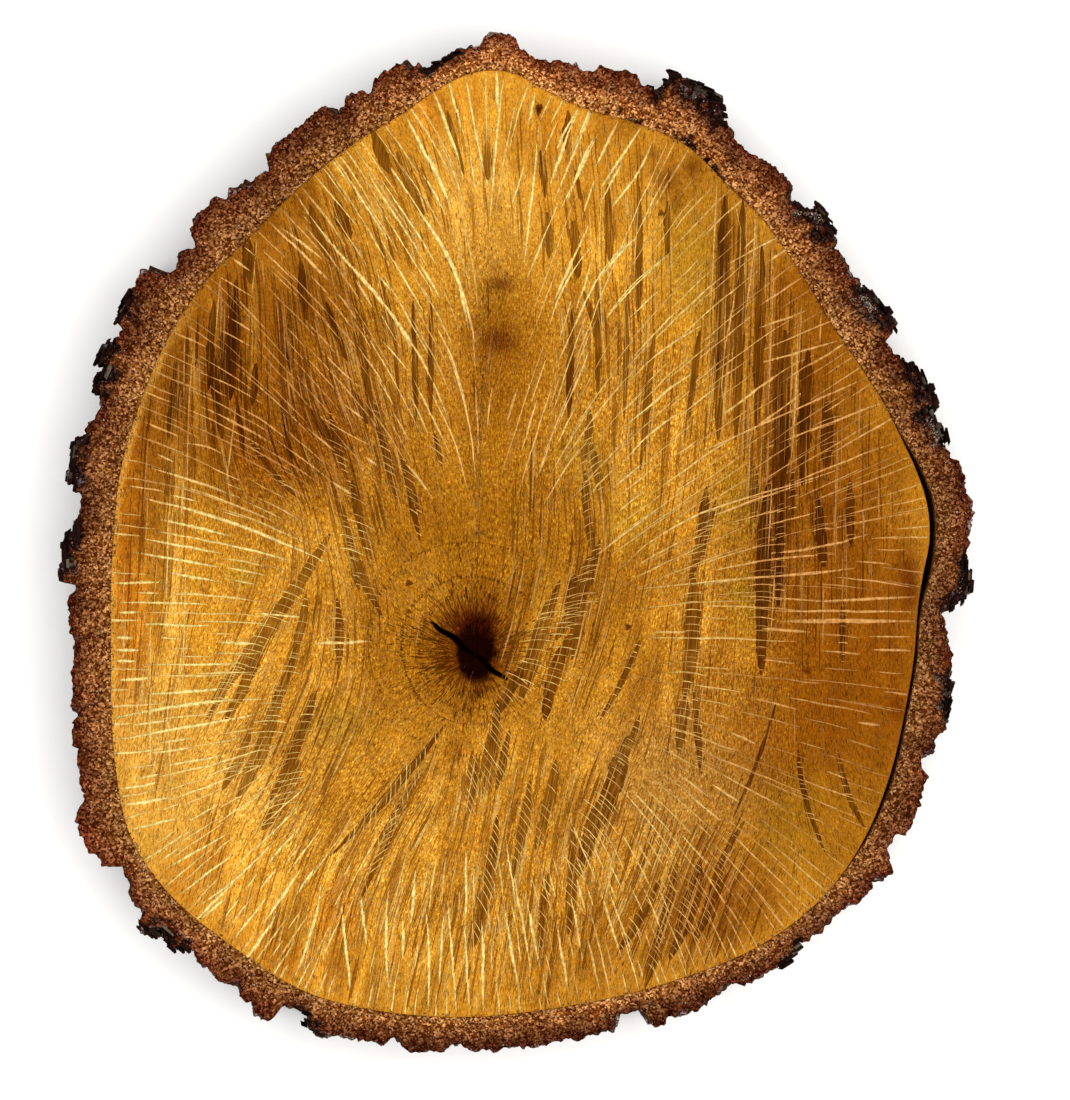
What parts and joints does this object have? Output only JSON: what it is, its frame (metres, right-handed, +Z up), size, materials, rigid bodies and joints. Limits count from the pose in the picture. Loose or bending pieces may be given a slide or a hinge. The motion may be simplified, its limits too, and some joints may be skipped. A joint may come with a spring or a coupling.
{
  "type": "wood slice",
  "caption": "Sawn slice of a small tree trunk lying flat: a wood disc with an off-centre hollow pith, in a rough ring of its own bark that has come loose along one side.",
  "frame": {"origin": "on the lower sawn face, under the middle of the slice's outline", "axes": "+Z up out of the upper sawn face, along the trunk; +Y along the slice's longer way across, towards its pointed end; +X across it, towards the loose bark"},
  "size_m": [0.2698, 0.3, 0.03],
  "materials": {
    "wood": "rough sawn end grain, golden brown with pale rays and darker saw strips",
    "bark": "dry gritty bark, red-brown where sawn, near black and weathered outside"
  },
  "bodies": {
    "root": {"wood": "wood", "bark": "bark"}
  },
  "joints": []
}
